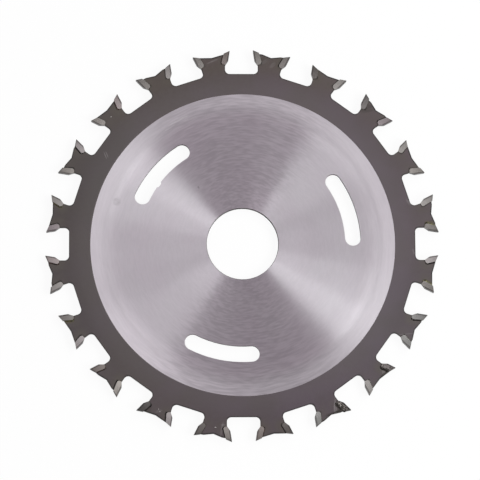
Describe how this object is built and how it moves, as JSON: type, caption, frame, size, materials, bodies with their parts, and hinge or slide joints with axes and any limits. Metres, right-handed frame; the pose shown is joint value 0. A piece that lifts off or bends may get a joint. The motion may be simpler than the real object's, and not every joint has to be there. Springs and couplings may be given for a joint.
{
  "type": "circular saw blade",
  "caption": "Circular saw blade for either direction of rotation: a slotted steel plate with a plain bore and flared rim posts, each tipped with carbide on both sides.",
  "frame": {"origin": "centre of the arbor bore, halfway through the plate's thickness", "axes": "+Z along the arbor axis, out of the face that shows; +Y and +X lie in the plate, towards the top and the right of the pictured face"},
  "size_m": [0.1098, 0.1104, 0.002],
  "materials": {
    "plate_steel": "ground bright in the middle with fine circular marks, dark satin scale on the rim",
    "carbide": "fine ground grey carbide, darker towards the cutting edges",
    "braze": "dull dark joint line with traces of flux"
  },
  "bodies": {
    "root": {"blade_body": "plate_steel", "braze_seams_left": "braze", "braze_seams_right": "braze", "tip_01_left": "carbide", "tip_01_right": "carbide", "tip_02_left": "carbide", "tip_02_right": "carbide", "tip_03_left": "carbide", "tip_03_right": "carbide", "tip_04_left": "carbide", "tip_04_right": "carbide", "tip_05_left": "carbide", "tip_05_right": "carbide", "tip_06_left": "carbide", "tip_06_right": "carbide", "tip_07_left": "carbide", "tip_07_right": "carbide", "tip_08_left": "carbide", "tip_08_right": "carbide", "tip_09_left": "carbide", "tip_09_right": "carbide", "tip_10_left": "carbide", "tip_10_right": "carbide", "tip_11_left": "carbide", "tip_11_right": "carbide", "tip_12_left": "carbide", "tip_12_right": "carbide", "tip_13_left": "carbide", "tip_13_right": "carbide", "tip_14_left": "carbide", "tip_14_right": "carbide", "tip_15_left": "carbide", "tip_15_right": "carbide", "tip_16_left": "carbide", "tip_16_right": "carbide", "tip_17_left": "carbide", "tip_17_right": "carbide", "tip_18_left": "carbide", "tip_18_right": "carbide", "tip_19_left": "carbide", "tip_19_right": "carbide", "tip_20_left": "carbide", "tip_20_right": "carbide"}
  },
  "joints": []
}
